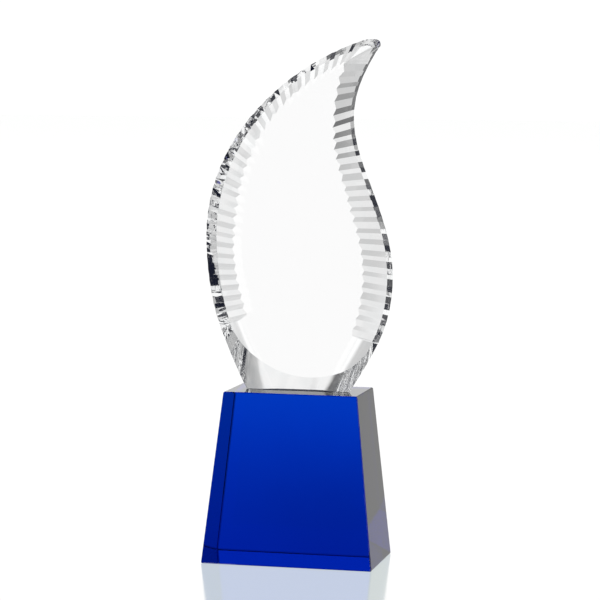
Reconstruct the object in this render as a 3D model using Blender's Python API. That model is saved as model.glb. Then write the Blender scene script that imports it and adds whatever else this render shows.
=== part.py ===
"""Crystal flame award: a clear optical-crystal flame bonded on a tapered cobalt crystal base.

Frame: origin at the centre of the base's underside, +Z up, the flat front face looks along -Y.
Written in millimetres and scaled to metres once, where the meshes are made.
"""

import bisect
import math

import bmesh
import bpy
from mathutils import Vector

MM = 0.001

# Cobalt base: a solid block whose four sides lean in towards the top.
BASE_BOTTOM = (83.8, 51.8)
BASE_TOP = (65.6, 41.2)
BASE_HEIGHT = 83.0
BASE_ARRIS = 0.5

# Cured adhesive between base and flame. Solids that touch in real life stand GAP apart here.
GAP = 0.3
FILM_THICKNESS = 0.4
FILM_MARGIN = 0.6
FOOT_Z = BASE_HEIGHT + GAP + FILM_THICKNESS + GAP

# Flame blade: a flat slab with a wide, shallow bevel in front and a narrow, steep one behind.
BLADE_THICKNESS = 12.5
FRONT_BEVEL_DEPTH = 2.6
FRONT_Y = -BLADE_THICKNESS / 2
BACK_Y = BLADE_THICKNESS / 2
RIM_Y = FRONT_Y + FRONT_BEVEL_DEPTH

# V-shaped flutes ground across the front bevel.
FLUTE_PITCH = 5.64
FLUTE_DEPTH_LOW = 0.22
FLUTE_DEPTH_HIGH = 0.42
HAND_SHARE = 0.14
PLAIN_STEP = 3.0

# The three closed outlines run the same way round: up the right side, over the tip and
# down the left side. Each stretch is a cubic curve given by its handles and end point.
# Below FOOT_Z they close in a round that the foot is cut from.
RIM_START = (0.0, 60.0)
RIM = [
    ((13.0, 60.0), (30.5, 89.2), (39.6, 107.4)),
    ((43.7, 115.6), (46.2, 127.0), (46.2, 138.0)),
    ((46.2, 168.3), (26.2, 192.6), (26.2, 215.0)),
    ((26.2, 225.7), (29.2, 233.3), (34.5, 243.0)),
    ((35.7, 245.1), (36.9, 247.3), (38.3, 249.6)),
    ((38.4, 251.2), (37.6, 252.3), (36.5, 252.5)),
    ((34.4, 252.8), (32.2, 252.7), (30.0, 252.0)),
    ((27.0, 251.0), (23.9, 249.9), (21.0, 248.6)),
    ((-16.0, 233.0), (-46.2, 198.8), (-46.2, 158.0)),
    ((-46.2, 145.0), (-44.0, 126.0), (-39.0, 113.5)),
    ((-31.9, 96.6), (-18.3, 60.0), (0.0, 60.0)),
]

# Edge of the flat front face. It comes to a point below the tip.
FRONT_START = (0.0, 73.0)
FRONT = [
    ((11.9, 73.0), (18.9, 97.2), (27.2, 110.9)),
    ((31.3, 119.8), (32.7, 130.5), (32.7, 140.0)),
    ((32.7, 164.0), (17.7, 188.0), (17.7, 212.0)),
    ((17.7, 225.0), (20.0, 235.8), (24.5, 243.0)),
    None,
    None,
    None,
    ((23.0, 242.5), (21.0, 241.7), (19.0, 240.8)),
    ((-12.0, 226.4), (-32.7, 198.7), (-32.7, 156.0)),
    ((-32.7, 143.0), (-29.6, 130.0), (-25.5, 117.5)),
    ((-18.5, 100.5), (-9.0, 73.0), (0.0, 73.0)),
]

# Edge of the flat back face. Its lower end is a low arch just above the foot.
BACK_START = (5.0, 88.8)
BACK = [
    ((20.0, 88.8), (29.4, 96.3), (35.5, 109.0)),
    ((39.5, 117.3), (41.6, 127.0), (41.6, 138.0)),
    ((41.6, 167.0), (22.2, 192.0), (22.2, 214.0)),
    ((22.2, 224.6), (25.4, 233.2), (30.0, 241.5)),
    ((31.1, 243.4), (32.2, 245.3), (33.4, 247.2)),
    ((33.6, 248.1), (33.3, 248.8), (32.5, 248.9)),
    ((31.3, 249.0), (30.2, 248.8), (29.0, 248.2)),
    ((26.2, 247.2), (23.5, 246.2), (20.8, 245.0)),
    ((-14.4, 229.8), (-41.8, 196.8), (-41.8, 158.0)),
    ((-41.8, 146.0), (-39.6, 128.0), (-34.9, 115.5)),
    ((-29.0, 100.5), (-14.0, 88.8), (5.0, 88.8)),
]

APEX = Vector(FRONT[3][-1])

# The very tip is ground back further: how far its rim lies behind the rest, coming in over
# the first of these stretches and going out over the last.
TIP_BACKSET = 2.2
TIP_SHOULDER = 0.75
TIP_FIRST, TIP_LAST = 4, 6

# Stretches that are laid out together, and how their front bevel is worked. A rounded bevel
# leaves the flat face without an edge and steepens towards the rim.
RUNS = (
    ((0,), "rounded"),
    ((1, 2, 3), "fluted"),
    ((4,), "plain"),
    ((5,), "plain"),
    ((6,), "plain"),
    ((7, 8, 9), "fluted"),
    ((10,), "rounded"),
)
ROUNDING = 2.0


def clear_scene():
    for obj in list(bpy.data.objects):
        bpy.data.objects.remove(obj, do_unlink=True)


class Stretch:
    """One cubic stretch of an outline, walked by length. A missing one stays at its start."""

    STEPS = 400

    def __init__(self, start, handles):
        p0 = Vector(start)
        p1, p2, p3 = (Vector(p) for p in handles) if handles else (p0, p0, p0)
        self.points = []
        for i in range(self.STEPS + 1):
            t = i / self.STEPS
            s = 1.0 - t
            self.points.append(
                p0 * s**3 + p1 * (3 * s * s * t) + p2 * (3 * s * t * t) + p3 * t**3
            )
        self.reached = [0.0]
        for a, b in zip(self.points, self.points[1:]):
            self.reached.append(self.reached[-1] + (b - a).length)
        self.length = self.reached[-1]
        self.end = self.points[-1]

    def at(self, share):
        goal = self.length * share
        i = min(max(bisect.bisect_left(self.reached, goal), 1), self.STEPS)
        span = self.reached[i] - self.reached[i - 1]
        if span == 0.0:
            return self.points[0].copy()
        return self.points[i - 1].lerp(self.points[i], (goal - self.reached[i - 1]) / span)


def outline(start, stretches):
    made = []
    for handles in stretches:
        made.append(Stretch(start, handles))
        start = made[-1].end
    return made


def flute_depth(height):
    """The cutter went in a little less far on the lower half, and never twice the same."""
    rise = min(max((height - 140.0) / 60.0, 0.0), 1.0)
    depth = FLUTE_DEPTH_LOW + (FLUTE_DEPTH_HIGH - FLUTE_DEPTH_LOW) * rise
    return depth * (1.0 + HAND_SHARE * math.sin(height))


def stations():
    """(front edge, rim, back edge, kind, backset) all round the flame, as (x, z) points.

    kind is "ridge" or "groove" on the fluted stretches, "rounded" or "plain" on others."""
    rims = outline(RIM_START, RIM)
    fronts = outline(FRONT_START, FRONT)
    backs = outline(BACK_START, BACK)
    found = []
    for members, work in RUNS:
        total = sum(rims[i].length for i in members)
        if work == "fluted":
            count = 2 * round(total / FLUTE_PITCH)
            kinds = ("ridge", "groove")
        else:
            count = max(4, round(total / PLAIN_STEP))
            kinds = (work, work)
        for k in range(count):
            along = total * k / count
            if work == "fluted" and k > 0:
                along += HAND_SHARE * FLUTE_PITCH / 2 * math.sin(k * k)
            i = members[0]
            while along > rims[i].length and i < members[-1]:
                along -= rims[i].length
                i += 1
            share = along / rims[i].length
            found.append(
                (
                    fronts[i].at(share),
                    rims[i].at(share),
                    backs[i].at(share),
                    kinds[k % 2],
                    backset(i, share),
                )
            )
    return found


def backset(stretch, share):
    if stretch == TIP_FIRST:
        return TIP_BACKSET * max(share * 2 - 1, 0.0)
    if stretch == TIP_LAST:
        return TIP_BACKSET * (1 - share)
    return TIP_BACKSET if TIP_FIRST < stretch < TIP_LAST else 0.0


def section(front, rim, back, kind):
    """The three corners of the blade's edge at one station, in 3-D."""
    front_corner = Vector((front.x, FRONT_Y, front.y))
    rim_corner = Vector((rim.x, RIM_Y, rim.y))
    back_corner = Vector((back.x, BACK_Y, back.y))
    if kind == "groove":
        depth = flute_depth(rim.y)
        inward = (front_corner - rim_corner) * Vector((1, 0, 1))
        slope = FRONT_BEVEL_DEPTH / inward.length
        if (front - APEX).length > 1e-6:
            front_corner += inward.normalized() * (depth / slope)
        rim_corner = rim_corner.lerp(back_corner, depth / (BACK_Y - RIM_Y))
    return front_corner, rim_corner, back_corner


def object_from(name, mesh_data, material):
    """Finishes a bmesh in millimetres as a named object in metres."""
    bmesh.ops.scale(mesh_data, vec=(MM, MM, MM), verts=mesh_data.verts)
    bmesh.ops.recalc_face_normals(mesh_data, faces=mesh_data.faces)
    mesh = bpy.data.meshes.new(name)
    mesh_data.to_mesh(mesh)
    mesh_data.free()
    mesh.materials.append(material)
    obj = bpy.data.objects.new(name, mesh)
    bpy.context.scene.collection.objects.link(obj)
    return obj


def crystal_flame(material):
    data = bmesh.new()
    rows = []
    tip_front = None
    for station in stations():
        front, rim, back = section(*station[:4])
        set_back = station[4]
        if tip_front is not None and (front - tip_front.co).length < 1e-6:
            front_vert = tip_front
        else:
            front_vert = data.verts.new(front)
            tip_front = front_vert
        shoulder_point = front.lerp(rim, TIP_SHOULDER)
        if station[3] == "rounded":
            shoulder_point.y = FRONT_Y + FRONT_BEVEL_DEPTH * TIP_SHOULDER**ROUNDING
        shoulder = data.verts.new(shoulder_point)
        rim.y += set_back
        rows.append((front_vert, shoulder, data.verts.new(rim), data.verts.new(back)))
    for row, after in zip(rows, rows[1:] + rows[:1]):
        if row[0] is after[0]:
            data.faces.new((row[0], row[1], after[1]))
        else:
            data.faces.new((row[0], row[1], after[1], after[0]))
        for k in (1, 2):
            data.faces.new((row[k], row[k + 1], after[k + 1], after[k]))
    front_loop = []
    for row in rows:
        if not front_loop or front_loop[-1] is not row[0]:
            front_loop.append(row[0])
    data.faces.new(front_loop)
    data.faces.new([row[-1] for row in rows])
    data.normal_update()
    bmesh.ops.triangulate(data, faces=[f for f in data.faces if len(f.verts) > 4])
    cut_foot(data)
    return object_from("crystal_flame", data, material)


def cut_foot(data):
    """Cuts the round lower end off flat, at the height where it stands on the film."""
    cut = bmesh.ops.bisect_plane(
        data,
        geom=data.verts[:] + data.edges[:] + data.faces[:],
        plane_co=(0.0, 0.0, FOOT_Z),
        plane_no=(0.0, 0.0, 1.0),
        clear_inner=True,
    )
    edges = [e for e in cut["geom_cut"] if isinstance(e, bmesh.types.BMEdge)]
    bmesh.ops.contextual_create(data, geom=edges)


def prism(name, corners, z_low, z_high, material):
    data = bmesh.new()
    low = [data.verts.new((x, y, z_low)) for x, y in corners]
    high = [data.verts.new((x, y, z_high)) for x, y in corners]
    data.faces.new(low[::-1])
    data.faces.new(high)
    for i in range(len(corners)):
        j = (i + 1) % len(corners)
        data.faces.new((low[i], low[j], high[j], high[i]))
    return object_from(name, data, material)


def bond_film(flame, material):
    """The film fills the flame's foot, less a small margin all round."""
    foot = [v.co / MM for v in flame.data.vertices if abs(v.co.z / MM - FOOT_Z) < 0.001]
    centre_y = (min(p.y for p in foot) + max(p.y for p in foot)) / 2
    foot.sort(key=lambda p: math.atan2((p.y - centre_y) * 4, p.x))
    width = max(p.x for p in foot) - min(p.x for p in foot)
    depth = max(p.y for p in foot) - min(p.y for p in foot)
    across = 1 - 2 * FILM_MARGIN / width
    deep = 1 - 2 * FILM_MARGIN / depth
    corners = [(p.x * across, centre_y + (p.y - centre_y) * deep) for p in foot]
    z_low = BASE_HEIGHT + GAP
    return prism("bond_film", corners, z_low, z_low + FILM_THICKNESS, material)


def cobalt_base(material):
    data = bmesh.new()
    rings = []
    for (width, depth), z in ((BASE_BOTTOM, 0.0), (BASE_TOP, BASE_HEIGHT)):
        ring = []
        for sx, sy in ((-1, -1), (1, -1), (1, 1), (-1, 1)):
            ring.append(data.verts.new((sx * width / 2, sy * depth / 2, z)))
        rings.append(ring)
    low, high = rings
    data.faces.new(low[::-1])
    data.faces.new(high)
    for i in range(4):
        j = (i + 1) % 4
        data.faces.new((low[i], low[j], high[j], high[i]))
    bmesh.ops.bevel(
        data,
        geom=data.edges[:],
        offset=BASE_ARRIS,
        segments=1,
        affect="EDGES",
        clamp_overlap=True,
    )
    return object_from("cobalt_base", data, material)


def principled(name, colour, transmission, ior, roughness):
    material = bpy.data.materials.new(name)
    material.use_nodes = True
    material.diffuse_color = (*colour, 1.0)
    shader = material.node_tree.nodes["Principled BSDF"]
    shader.inputs["Base Color"].default_value = (*colour, 1.0)
    shader.inputs["Transmission Weight"].default_value = transmission
    shader.inputs["IOR"].default_value = ior
    shader.inputs["Roughness"].default_value = roughness
    return material


def clear_crystal():
    return principled("clear_crystal", (0.97, 0.98, 0.98), 1.0, 1.52, 0.01)


def cobalt_crystal():
    return principled("cobalt_crystal", (0.01, 0.05, 0.45), 1.0, 1.52, 0.01)


def cured_adhesive():
    return principled("cured_adhesive", (0.95, 0.96, 0.97), 1.0, 1.50, 0.05)


clear_scene()
blade = crystal_flame(clear_crystal())
bond_film(blade, cured_adhesive())
cobalt_base(cobalt_crystal())
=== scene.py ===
"""Looks of the crystal flame award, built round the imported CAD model.

The row frame: origin at the centre of the base's underside, +Z up, the flat front looks
along -Y. Shapes are written in millimetres and scaled once, where the meshes are made.
"""

import bisect
import math

import bmesh
import bpy
from mathutils import Matrix, Vector


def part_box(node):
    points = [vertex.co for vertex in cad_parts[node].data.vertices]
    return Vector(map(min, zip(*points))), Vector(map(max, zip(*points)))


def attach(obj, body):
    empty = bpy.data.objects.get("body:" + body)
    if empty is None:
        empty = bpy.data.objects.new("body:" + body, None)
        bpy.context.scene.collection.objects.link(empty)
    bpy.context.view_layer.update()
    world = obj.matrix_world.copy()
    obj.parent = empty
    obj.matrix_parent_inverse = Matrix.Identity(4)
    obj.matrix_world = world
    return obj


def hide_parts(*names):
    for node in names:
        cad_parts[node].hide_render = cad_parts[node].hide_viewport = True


MM = 0.001

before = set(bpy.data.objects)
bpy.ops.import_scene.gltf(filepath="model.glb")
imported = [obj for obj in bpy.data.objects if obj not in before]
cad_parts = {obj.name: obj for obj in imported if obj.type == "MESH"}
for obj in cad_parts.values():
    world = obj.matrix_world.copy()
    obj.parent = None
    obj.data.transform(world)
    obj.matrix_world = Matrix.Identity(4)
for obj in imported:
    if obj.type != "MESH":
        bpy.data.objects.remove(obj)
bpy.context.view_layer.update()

# Camera: a long lens a little above the base's top, turned towards the right side.
CAMERA_AZIMUTH = math.radians(12.25)
CAMERA_ELEVATION = math.radians(4.63)
CAMERA_ROLL = math.radians(0.67)
CAMERA_DISTANCE = 1.260
CAMERA_LENS = 156.0
AIM = Vector((0.0, 0.0, 0.1266))

# Flame blade: a flat slab with a wide, shallow bevel in front and a narrow, steep one behind.
BLADE_THICKNESS = 12.5
FRONT_BEVEL_DEPTH = 2.6
FRONT_Y = -BLADE_THICKNESS / 2
BACK_Y = BLADE_THICKNESS / 2
RIM_Y = FRONT_Y + FRONT_BEVEL_DEPTH

# V-shaped flutes ground across the front bevel. They deepen between two heights.
FLUTE_PITCH = 5.64
FLUTE_DEPTH_LOW = 0.22
FLUTE_DEPTH_HIGH = 0.42
DEEPENS_FROM = 140.0
DEEPENS_TO = 200.0

# How much of a flute's depth and of half its pitch the grinder's hand varies by.
HAND_SHARE = 0.14

# Mesh fineness: steps across each bevel, and along the stretches without flutes.
FACET_STEPS = 8
PLAIN_STEP = 0.45
PLAIN_STEPS_LEAST = 4

# The joint: flame and base stand a film's thickness apart.
FILM_THICKNESS = 0.06
CONTACT = 0.02
FILM_MARGIN = 0.3

# Two points nearer than the first, in millimetres, are one. The foot's points lie no more
# than the second above the lowest one.
SAME_POINT = 1e-6
SAME_HEIGHT = 1e-4

RIM_START = (0.0, 60.0)
RIM = [
    ((13.0, 60.0), (30.5, 89.2), (39.6, 107.4)),
    ((43.7, 115.6), (46.2, 127.0), (46.2, 138.0)),
    ((46.2, 168.3), (26.2, 192.6), (26.2, 215.0)),
    ((26.2, 225.7), (29.2, 233.3), (34.5, 243.0)),
    ((35.7, 245.1), (36.9, 247.3), (38.3, 249.6)),
    ((38.4, 251.2), (37.6, 252.3), (36.5, 252.5)),
    ((34.4, 252.8), (32.2, 252.7), (30.0, 252.0)),
    ((27.0, 251.0), (23.9, 249.9), (21.0, 248.6)),
    ((-16.0, 233.0), (-46.2, 198.8), (-46.2, 158.0)),
    ((-46.2, 145.0), (-44.0, 126.0), (-39.0, 113.5)),
    ((-31.9, 96.6), (-18.3, 60.0), (0.0, 60.0)),
]

# Edge of the flat front face. It comes to a point below the tip.
FRONT_START = (0.0, 73.0)
FRONT = [
    ((11.9, 73.0), (18.9, 97.2), (27.2, 110.9)),
    ((31.3, 119.8), (32.7, 130.5), (32.7, 140.0)),
    ((32.7, 164.0), (17.7, 188.0), (17.7, 212.0)),
    ((17.7, 225.0), (20.0, 235.8), (24.5, 243.0)),
    None,
    None,
    None,
    ((23.0, 242.5), (21.0, 241.7), (19.0, 240.8)),
    ((-12.0, 226.4), (-32.7, 198.7), (-32.7, 156.0)),
    ((-32.7, 143.0), (-29.6, 130.0), (-25.5, 117.5)),
    ((-18.5, 100.5), (-9.0, 73.0), (0.0, 73.0)),
]

# Edge of the flat back face. Its lower end is a low arch just above the foot.
BACK_START = (5.0, 88.8)
BACK = [
    ((20.0, 88.8), (29.4, 96.3), (35.5, 109.0)),
    ((39.5, 117.3), (41.6, 127.0), (41.6, 138.0)),
    ((41.6, 167.0), (22.2, 192.0), (22.2, 214.0)),
    ((22.2, 224.6), (25.4, 233.2), (30.0, 241.5)),
    ((31.1, 243.4), (32.2, 245.3), (33.4, 247.2)),
    ((33.6, 248.1), (33.3, 248.8), (32.5, 248.9)),
    ((31.3, 249.0), (30.2, 248.8), (29.0, 248.2)),
    ((26.2, 247.2), (23.5, 246.2), (20.8, 245.0)),
    ((-14.4, 229.8), (-41.8, 196.8), (-41.8, 158.0)),
    ((-41.8, 146.0), (-39.6, 128.0), (-34.9, 115.5)),
    ((-29.0, 100.5), (-14.0, 88.8), (5.0, 88.8)),
]

APEX = Vector(FRONT[3][-1])

# The very tip is ground back further: how far its rim lies behind the rest, and how far
# across the bevel that begins. It comes in over the first of these stretches and goes out
# over the last.
TIP_BACKSET = 2.2
TIP_SHOULDER = 0.75
TIP_FIRST, TIP_LAST = 4, 6

# Stretches that are laid out together, and how their front bevel is worked. A rounded bevel
# leaves the flat face without an edge and steepens towards the rim.
RUNS = (
    ((0,), "rounded"),
    ((1, 2, 3), "fluted"),
    ((4,), "plain"),
    ((5,), "plain"),
    ((6,), "plain"),
    ((7, 8, 9), "fluted"),
    ((10,), "rounded"),
)
ROUNDING = 2.0


# ---------------------------------------------------------------- geometry


class Stretch:
    """One cubic stretch of an outline, walked by length. A missing one stays at its start."""

    STEPS = 400

    def __init__(self, start, handles):
        p0 = Vector(start)
        p1, p2, p3 = (Vector(p) for p in handles) if handles else (p0, p0, p0)
        self.points = []
        for i in range(self.STEPS + 1):
            t = i / self.STEPS
            s = 1.0 - t
            self.points.append(
                p0 * s**3 + p1 * (3 * s * s * t) + p2 * (3 * s * t * t) + p3 * t**3
            )
        self.reached = [0.0]
        for a, b in zip(self.points, self.points[1:]):
            self.reached.append(self.reached[-1] + (b - a).length)
        self.length = self.reached[-1]
        self.end = self.points[-1]

    def at(self, share):
        goal = self.length * share
        i = min(max(bisect.bisect_left(self.reached, goal), 1), self.STEPS)
        span = self.reached[i] - self.reached[i - 1]
        if span == 0.0:
            return self.points[0].copy()
        return self.points[i - 1].lerp(self.points[i], (goal - self.reached[i - 1]) / span)


def outline(start, stretches):
    made = []
    for handles in stretches:
        made.append(Stretch(start, handles))
        start = made[-1].end
    return made


def flute_depth(height):
    """The cutter went in a little less far on the lower half, and never twice the same."""
    rise = min(max((height - DEEPENS_FROM) / (DEEPENS_TO - DEEPENS_FROM), 0.0), 1.0)
    depth = FLUTE_DEPTH_LOW + (FLUTE_DEPTH_HIGH - FLUTE_DEPTH_LOW) * rise
    return depth * (1.0 + HAND_SHARE * math.sin(height))


def stations():
    """(front edge, rim, back edge, kind, backset) all round the flame, as (x, z) points.

    kind is "ridge" or "groove" on the fluted stretches, "rounded" or "plain" on others."""
    rims = outline(RIM_START, RIM)
    fronts = outline(FRONT_START, FRONT)
    backs = outline(BACK_START, BACK)
    found = []
    for members, work in RUNS:
        total = sum(rims[i].length for i in members)
        if work == "fluted":
            count = 2 * round(total / FLUTE_PITCH)
            kinds = ("ridge", "groove")
        else:
            count = max(PLAIN_STEPS_LEAST, round(total / PLAIN_STEP))
            kinds = (work, work)
        for k in range(count):
            along = total * k / count
            if work == "fluted" and k > 0:
                along += HAND_SHARE * FLUTE_PITCH / 2 * math.sin(k * k)
            i = members[0]
            while along > rims[i].length and i < members[-1]:
                along -= rims[i].length
                i += 1
            share = along / rims[i].length
            found.append(
                (
                    fronts[i].at(share),
                    rims[i].at(share),
                    backs[i].at(share),
                    kinds[k % 2],
                    backset(i, share),
                )
            )
    return found


def backset(stretch, share):
    """How far behind its usual place the rim lies at this share of a stretch."""
    if stretch == TIP_FIRST:
        return TIP_BACKSET * max(share * 2 - 1, 0.0)
    if stretch == TIP_LAST:
        return TIP_BACKSET * (1 - share)
    return TIP_BACKSET if TIP_FIRST < stretch < TIP_LAST else 0.0


def section(front, rim, back, kind):
    """The three corners of the blade's edge at one station, in 3-D."""
    front_corner = Vector((front.x, FRONT_Y, front.y))
    rim_corner = Vector((rim.x, RIM_Y, rim.y))
    back_corner = Vector((back.x, BACK_Y, back.y))
    if kind == "groove":
        depth = flute_depth(rim.y)
        inward = (front_corner - rim_corner) * Vector((1, 0, 1))
        slope = FRONT_BEVEL_DEPTH / inward.length
        if (front - APEX).length > SAME_POINT:
            front_corner += inward.normalized() * (depth / slope)
        rim_corner = rim_corner.lerp(back_corner, depth / (BACK_Y - RIM_Y))
    return front_corner, rim_corner, back_corner


def object_from(name, mesh_data, material):
    """Finishes a bmesh in millimetres as a named object in metres."""
    bmesh.ops.scale(mesh_data, vec=(MM, MM, MM), verts=mesh_data.verts)
    bmesh.ops.recalc_face_normals(mesh_data, faces=mesh_data.faces)
    mesh = bpy.data.meshes.new(name)
    mesh_data.to_mesh(mesh)
    mesh_data.free()
    mesh.materials.append(material)
    obj = bpy.data.objects.new(name, mesh)
    bpy.context.scene.collection.objects.link(obj)
    return obj


def loft(data, row, after):
    """Quads between two neighbouring rows of vertices, or a triangle where they meet."""
    for k in range(len(row) - 1):
        corners = [row[k], row[k + 1], after[k + 1], after[k]]
        if corners[0] is corners[3]:
            corners.pop()
        data.faces.new(corners).smooth = True


def front_profile(front, rim, kind, set_back):
    """The points across the front bevel, between its two edges."""
    points = []
    for k in range(1, FACET_STEPS):
        share = k / FACET_STEPS
        point = front.lerp(rim, share)
        point.y += set_back * max(share - TIP_SHOULDER, 0.0) / (1 - TIP_SHOULDER)
        if kind == "rounded":
            point.y = FRONT_Y + FRONT_BEVEL_DEPTH * share**ROUNDING
        points.append(point)
    return points


def crease(front_rows, back_rows, kinds):
    """Marks every ground edge as crisp: both rims, the flutes and the tip's shoulder."""
    shoulder = round(FACET_STEPS * TIP_SHOULDER)
    for i, kind in enumerate(kinds):
        j = (i + 1) % len(kinds)
        if kind in ("ridge", "groove"):
            sharpen(front_rows[i])
            sharpen(back_rows[i])
        if kind == "tip":
            sharpen([front_rows[i][shoulder], front_rows[j][shoulder]])
        sharpen([front_rows[i][0], front_rows[j][0]])
        sharpen([front_rows[i][-1], front_rows[j][-1]])
        sharpen([back_rows[i][-1], back_rows[j][-1]])


def crystal_flame(foot_z, material, wetted):
    data = bmesh.new()
    front_rows, back_rows, kinds = [], [], []
    first = None
    for *edges, kind, set_back in stations():
        front, rim, back = section(*edges, kind)
        # Along the tip the flat face has a single point, which all rows there share.
        if first is None or (front - first.co).length >= SAME_POINT:
            first = data.verts.new(front)
        middle = data.verts.new(rim + Vector((0.0, set_back, 0.0)))
        across = [data.verts.new(p) for p in front_profile(front, rim, kind, set_back)]
        down = []
        for k in range(1, FACET_STEPS + 1):
            down.append(data.verts.new(middle.co.lerp(back, k / FACET_STEPS)))
        front_rows.append([first, *across, middle])
        back_rows.append([middle, *down])
        kinds.append("tip" if set_back > 0 else kind)
    for i in range(len(kinds)):
        j = (i + 1) % len(kinds)
        loft(data, front_rows[i], front_rows[j])
        loft(data, back_rows[i], back_rows[j])
    crease(front_rows, back_rows, kinds)
    flat_edge = []
    for row in front_rows:
        if not flat_edge or flat_edge[-1] is not row[0]:
            flat_edge.append(row[0])
    data.faces.new(flat_edge)
    data.faces.new([row[-1] for row in back_rows])
    data.normal_update()
    bmesh.ops.triangulate(data, faces=[f for f in data.faces if len(f.verts) > 4])
    cut_foot(data, foot_z)
    flame = object_from("crystal_flame_cut", data, material)
    flame.data.materials.append(wetted)
    return flame


def sharpen(verts):
    """Marks the edges along a run of vertices as crisp."""
    for a, b in zip(verts, verts[1:]):
        if a is b:
            continue
        for edge in a.link_edges:
            if edge.other_vert(a) is b:
                edge.smooth = False


def cut_foot(data, foot_z):
    """Cuts the round lower end off flat, at the height where it stands on the film."""
    cut = bmesh.ops.bisect_plane(
        data,
        geom=data.verts[:] + data.edges[:] + data.faces[:],
        plane_co=(0.0, 0.0, foot_z),
        plane_no=(0.0, 0.0, 1.0),
        clear_inner=True,
    )
    edges = [e for e in cut["geom_cut"] if isinstance(e, bmesh.types.BMEdge)]
    for edge in edges:
        edge.smooth = False
    for face in bmesh.ops.contextual_create(data, geom=edges)["faces"]:
        face.smooth = False
        face.material_index = 1


def bond_film(flame, z_low, z_high, material):
    """The film fills the flame's foot, less a small margin all round."""
    points = [v.co / MM for v in flame.data.vertices]
    lowest = min(p.z for p in points)
    foot = [p for p in points if p.z < lowest + SAME_HEIGHT]
    centre_y = (min(p.y for p in foot) + max(p.y for p in foot)) / 2
    foot.sort(key=lambda p: math.atan2(p.y - centre_y, p.x))
    width = max(p.x for p in foot) - min(p.x for p in foot)
    depth = max(p.y for p in foot) - min(p.y for p in foot)
    x_share = 1 - 2 * FILM_MARGIN / width
    y_share = 1 - 2 * FILM_MARGIN / depth
    data = bmesh.new()
    rings = []
    for z in (z_low, z_high):
        ring = []
        for p in foot:
            y = centre_y + (p.y - centre_y) * y_share
            ring.append(data.verts.new((p.x * x_share, y, z)))
        rings.append(ring)
    low, high = rings
    data.faces.new(low[::-1])
    data.faces.new(high)
    for i in range(len(foot)):
        j = (i + 1) % len(foot)
        data.faces.new((low[i], low[j], high[j], high[i]))
    return object_from("bond_film_cured", data, material)


# ---------------------------------------------------------------- materials


CRYSTAL_INDEX = 1.52

# Haze: how finely the noise is layered, where its clouds begin and are full, their tint.
HAZE_LAYERS = 4.0
CLOUDS_FROM, CLOUDS_FULL = 0.35, 0.65
CLEAR_TINT = (0.96, 0.975, 0.98)
COBALT_TINT = (0.965, 0.975, 0.98)

# A face counts as flat where its normal leans this much or more along Y.
FLAT_FROM, FLAT_FULL = 0.995, 0.9995

# What one unit of depth leaves of each colour, and how dense the cobalt is.
COBALT_PASSES = (0.05, 0.62, 0.925)
COBALT_DENSITY = 200.0

# The film over the blue base, thin and thick, and how dull its clouds are.
FILM_THIN = (0.001, 0.006, 0.036)
FILM_THICK = (0.003, 0.011, 0.055)
FILM_ROUGHNESS = (0.24, 0.36)

def new_material(name):
    material = bpy.data.materials.new(name)
    material.use_nodes = True
    return material, material.node_tree, material.node_tree.nodes["Principled BSDF"]


def polish(tree, shader, scale, tint, height, ground_only):
    """Cloudy traces of polishing: a breath of tint and of unevenness under a full polish.

    height is in metres. With ground_only the flat faces, which look along Y, stay even."""
    n = Nodes(tree)
    grain = n.add("TexNoise")
    grain.inputs["Scale"].default_value = scale
    grain.inputs["Detail"].default_value = HAZE_LAYERS
    n.feed(grain.inputs["Vector"], n.add("TexCoord").outputs["Object"])
    clouds = n.ramp(grain.outputs[0], CLOUDS_FROM, CLOUDS_FULL)
    if ground_only:
        facing = n.add("SeparateXYZ")
        n.feed(facing.inputs[0], n.add("NewGeometry").outputs["True Normal"])
        flat = n.ramp(n.math("ABSOLUTE", facing.outputs[1]), FLAT_FROM, FLAT_FULL)
        clouds = n.math("MULTIPLY", clouds, n.math("SUBTRACT", 1.0, flat))
    colour = n.add("Mix", data_type="RGBA")
    n.feed(colour.inputs[0], clouds)
    colour.inputs[6].default_value = (1.0, 1.0, 1.0, 1.0)
    colour.inputs[7].default_value = (*tint, 1.0)
    n.feed(shader.inputs["Base Color"], colour.outputs[2])
    shader.inputs["Roughness"].default_value = 0.0
    uneven = n.add("Bump")
    uneven.inputs["Strength"].default_value = 1.0
    uneven.inputs["Distance"].default_value = height
    n.feed(uneven.inputs["Height"], clouds)
    n.feed(shader.inputs["Normal"], uneven.outputs[0])


def clear_crystal():
    material, tree, shader = new_material("clear_crystal_look")
    shader.inputs["Transmission Weight"].default_value = 1.0
    shader.inputs["IOR"].default_value = CRYSTAL_INDEX
    polish(tree, shader, 160.0, CLEAR_TINT, 3e-6, True)
    return material


def cobalt_crystal():
    material, tree, shader = new_material("cobalt_crystal_look")
    shader.inputs["Transmission Weight"].default_value = 1.0
    shader.inputs["IOR"].default_value = CRYSTAL_INDEX
    polish(tree, shader, 60.0, COBALT_TINT, 1e-6, False)
    absorption = tree.nodes.new("ShaderNodeVolumeAbsorption")
    absorption.inputs["Color"].default_value = (*COBALT_PASSES, 1.0)
    absorption.inputs["Density"].default_value = COBALT_DENSITY
    tree.links.new(absorption.outputs[0], tree.nodes["Material Output"].inputs["Volume"])
    return material


def wetted_foot():
    """The foot's face is wetted by the adhesive, so light leaves there without bending."""
    material, tree, shader = new_material("wetted_foot_look")
    shader.inputs["Transmission Weight"].default_value = 1.0
    shader.inputs["IOR"].default_value = 1.0
    polish(tree, shader, 160.0, CLEAR_TINT, 1e-6, False)
    return material


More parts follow.
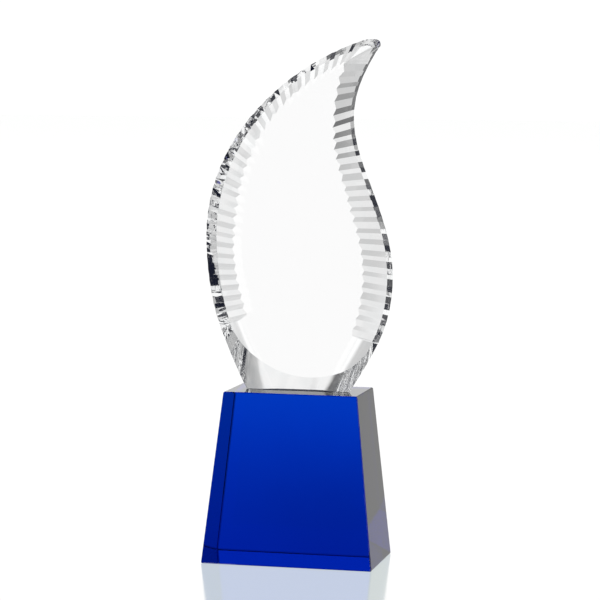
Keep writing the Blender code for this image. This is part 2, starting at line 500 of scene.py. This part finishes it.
def cured_adhesive():
    """Clear, but seen against the deep blue right under it; thicker in clouds, duller there."""
    material, tree, shader = new_material("cured_adhesive_look")
    n = Nodes(tree)
    flow = n.add("TexNoise")
    flow.inputs["Scale"].default_value = 220.0
    flow.inputs["Detail"].default_value = 5.0
    n.feed(flow.inputs["Vector"], n.add("TexCoord").outputs["Object"])
    thick = n.ramp(flow.outputs[0], CLOUDS_FROM, CLOUDS_FULL)
    colour = n.add("Mix", data_type="RGBA")
    n.feed(colour.inputs[0], thick)
    colour.inputs[6].default_value = (*FILM_THIN, 1.0)
    colour.inputs[7].default_value = (*FILM_THICK, 1.0)
    n.feed(shader.inputs["Base Color"], colour.outputs[2])
    n.feed(shader.inputs["Roughness"], n.ramp(flow.outputs[0], 0.3, 0.7, *FILM_ROUGHNESS))
    shader.inputs["IOR"].default_value = 1.05
    return material


# ---------------------------------------------------------------- stage


class Nodes:
    """Short calls for building a node tree."""

    def __init__(self, tree):
        self.tree = tree

    def add(self, kind, **settings):
        made = self.tree.nodes.new("ShaderNode" + kind)
        for key, value in settings.items():
            setattr(made, key, value)
        return made

    def feed(self, socket, value):
        if isinstance(value, bpy.types.NodeSocket):
            self.tree.links.new(value, socket)
        else:
            socket.default_value = value

    def math(self, operation, *values):
        made = self.add("Math", operation=operation)
        for socket, value in zip(made.inputs, values):
            self.feed(socket, value)
        return made.outputs[0]

    def ramp(self, value, low, high, start=0.0, end=1.0):
        """Eases from start to end while value goes from low to high."""
        made = self.add("MapRange", interpolation_type="SMOOTHSTEP")
        for name, v in (
            ("Value", value),
            ("From Min", low),
            ("From Max", high),
            ("To Min", start),
            ("To Max", end),
        ):
            self.feed(made.inputs[name], v)
        return made.outputs[0]

    def window(self, value, low, high, soft):
        """1 between low and high, easing to 0 over soft on each side."""
        rise = self.ramp(value, low - soft / 2, low + soft / 2)
        fall = self.ramp(value, high - soft / 2, high + soft / 2, 1.0, 0.0)
        return self.math("MULTIPLY", rise, fall)

    def blend(self, share, first, second):
        """first where share is 0, second where it is 1."""
        made = self.add("Mix", data_type="FLOAT")
        self.feed(made.inputs[0], share)
        self.feed(made.inputs[2], first)
        self.feed(made.inputs[3], second)
        return made.outputs[0]


# What the crystal sees round it: azimuth from, to and softness, elevation from, to and
# softness in degrees, then brightness. Azimuth 0 is straight behind, -90 on the left.
# Each panel covers the ones before it, and they all cover the room.
PANELS = (
    # Grey backdrop, then a grey wall right of it, lighter below than above.
    (-48, 18, 20, -60, 25, 8, 0.62),
    (6, 60, 14, -25, 4, 8, 0.60),
    (6, 60, 14, 2, 60, 10, 0.46),
    # Light wall on the right, in front.
    (100, 200, 12, -30, 40, 8, 0.88),
    # The lit middle of the backdrop: low on the left, then above and below eye level.
    (-25, -12, 6, -60, -3.8, 2, 0.84),
    (-12, 2, 5, -3.3, 14, 2, 0.90),
    (-12, 2, 5, -60, -3.5, 2, 0.74),
    # Dark screen on the left and a bright strip over the middle.
    (-60, -20.3, 5, 0.0, 40, 5, 0.20),
    (-18.5, 2, 5, 4.2, 14, 3, 0.96),
    # White board straight behind, which shows through the flat faces.
    (-15.6, -9.8, 1.6, -12, 3.5, 3, 1.05),
    # Black screen on the camera's side, which the front faces mirror.
    (-171, -165.3, 0.6, -8.5, 6.5, 1.5, 0.02),
)

# The room away from the panels: lamps, screens and gaps, as patches of different brightness.
# The pattern's colour goes from dark to bright between two values. The patches are coarser
# on the ceiling, above the lower of two elevations, and ROOM_SHIFT picks their layout.
ROOM_DARK, ROOM_BRIGHT = 0.0, 1.0
DARK_BELOW, BRIGHT_ABOVE = 0.35, 0.8
ROOM_PATCHES, CEILING_PATCHES = 21.0, 5.0
CEILING_FROM, CEILING_FULL = 20.0, 50.0
ROOM_SHIFT = (7.0, 5.0, 1.0)

# Dark parts are a little blue, up to this brightness.
DARK_TINT = (0.005, 0.007, 0.018)
TINTED_BELOW = 0.3

# The plain white that the camera sees, and that dull surfaces mirror.
PLAIN_WHITE = 1.05


def studio_world():
    world = bpy.data.worlds.new("studio")
    bpy.context.scene.world = world
    world.use_nodes = True
    tree = world.node_tree
    tree.nodes.clear()
    n = Nodes(tree)
    direction = n.add("TexCoord").outputs["Generated"]
    split = n.add("SeparateXYZ")
    n.feed(split.inputs[0], direction)
    x, y, z = split.outputs
    elevation = n.math("DEGREES", n.math("ARCSINE", z))
    azimuth = n.math("DEGREES", n.math("ARCTAN2", x, y))
    patches = n.add("TexVoronoi")
    coarseness = n.ramp(elevation, CEILING_FROM, CEILING_FULL, ROOM_PATCHES, CEILING_PATCHES)
    n.feed(patches.inputs["Scale"], coarseness)
    shifted = n.add("VectorMath", operation="ADD")
    n.feed(shifted.inputs[0], direction)
    shifted.inputs[1].default_value = ROOM_SHIFT
    n.feed(patches.inputs["Vector"], shifted.outputs[0])
    patch = n.add("SeparateColor")
    n.feed(patch.inputs[0], patches.outputs["Color"])
    studio = n.ramp(patch.outputs[0], DARK_BELOW, BRIGHT_ABOVE, ROOM_DARK, ROOM_BRIGHT)
    for az_low, az_high, az_soft, el_low, el_high, el_soft, light in PANELS:
        across = n.window(azimuth, az_low, az_high, az_soft)
        upright = n.window(elevation, el_low, el_high, el_soft)
        studio = n.blend(n.math("MULTIPLY", across, upright), studio, light)
    path = n.add("LightPath")
    dull = n.math("SUBTRACT", 1.0, path.outputs["Is Singular Ray"])
    sheen = n.math("MULTIPLY", path.outputs["Is Glossy Ray"], dull)
    plain = n.math("MAXIMUM", path.outputs["Is Camera Ray"], sheen)
    brightness = n.blend(plain, studio, PLAIN_WHITE)
    colour = n.add("Mix", data_type="RGBA")
    n.feed(colour.inputs[0], n.ramp(brightness, 0.0, TINTED_BELOW))
    colour.inputs[6].default_value = (*DARK_TINT, 1.0)
    n.feed(colour.inputs[7], brightness)
    background = n.add("Background")
    n.feed(background.inputs["Color"], colour.outputs[2])
    output = n.add("OutputWorld")
    n.feed(output.inputs["Surface"], background.outputs[0])


# Floor: a pale glow under a sheen, which takes this share of what is seen.
FLOOR_RADIUS = 20000.0
FLOOR_GLOW = (0.545, 0.605, 0.600)
FLOOR_SHEEN = 0.47
FLOOR_SHEEN_TINT = (1.0, 0.88, 0.88)
FLOOR_ROUGHNESS = 0.12


def floor():
    """Only the camera sees it, so that the crystal's light comes from the studio alone."""
    data = bmesh.new()
    bmesh.ops.create_circle(data, cap_ends=True, segments=96, radius=FLOOR_RADIUS)
    material = bpy.data.materials.new("floor_white")
    material.use_nodes = True
    tree = material.node_tree
    tree.nodes.clear()
    n = Nodes(tree)
    glow = n.add("Emission")
    glow.inputs["Color"].default_value = (*FLOOR_GLOW, 1.0)
    glow.inputs["Strength"].default_value = 1 / (1 - FLOOR_SHEEN)
    gloss = n.add("BsdfAnisotropic")
    gloss.inputs["Color"].default_value = (*FLOOR_SHEEN_TINT, 1.0)
    gloss.inputs["Roughness"].default_value = FLOOR_ROUGHNESS
    seen = n.add("MixShader")
    seen.inputs[0].default_value = FLOOR_SHEEN
    n.feed(seen.inputs[1], glow.outputs[0])
    n.feed(seen.inputs[2], gloss.outputs[0])
    output = n.add("OutputMaterial")
    n.feed(output.inputs["Surface"], seen.outputs[0])
    obj = object_from("floor", data, material)
    obj.visible_transmission = False
    obj.visible_glossy = False
    obj.visible_diffuse = False


def camera():
    data = bpy.data.cameras.new("camera")
    data.lens = CAMERA_LENS
    data.sensor_width = 36.0
    obj = bpy.data.objects.new("camera", data)
    bpy.context.scene.collection.objects.link(obj)
    bpy.context.scene.camera = obj
    flat = math.cos(CAMERA_ELEVATION)
    back = Vector(
        (
            math.sin(CAMERA_AZIMUTH) * flat,
            -math.cos(CAMERA_AZIMUTH) * flat,
            math.sin(CAMERA_ELEVATION),
        )
    )
    right = Vector((0.0, 0.0, 1.0)).cross(back).normalized()
    up = back.cross(right)
    c, s = math.cos(CAMERA_ROLL), math.sin(CAMERA_ROLL)
    axes = Matrix((right * c + up * s, up * c - right * s, back)).transposed()
    obj.matrix_world = Matrix.Translation(AIM + back * CAMERA_DISTANCE) @ axes.to_4x4()


# ---------------------------------------------------------------- assembly

camera()
studio_world()
floor()
bpy.context.scene.view_settings.view_transform = "Standard"

# Light is thrown about inside the crystal many times before it leaves.
CRYSTAL_BOUNCES = 32
cycles = bpy.context.scene.cycles
cycles.max_bounces = CRYSTAL_BOUNCES
cycles.transmission_bounces = CRYSTAL_BOUNCES
cycles.glossy_bounces = CRYSTAL_BOUNCES
cycles.transparent_max_bounces = CRYSTAL_BOUNCES // 2

base_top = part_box("cobalt_base")[1].z / MM
film_low = base_top + CONTACT
film_high = film_low + FILM_THICKNESS
flame = crystal_flame(film_high + CONTACT, clear_crystal(), wetted_foot())
film = bond_film(flame, film_low, film_high, cured_adhesive())
for piece, node, slot in (
    (flame, "crystal_flame", "clear_crystal"),
    (film, "bond_film", "cured_adhesive"),
):
    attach(piece, "root")
    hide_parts(node)

# The base keeps its CAD mesh and takes the crystal's look.
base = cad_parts["cobalt_base"].data
base.materials.clear()
base.materials.append(cobalt_crystal())
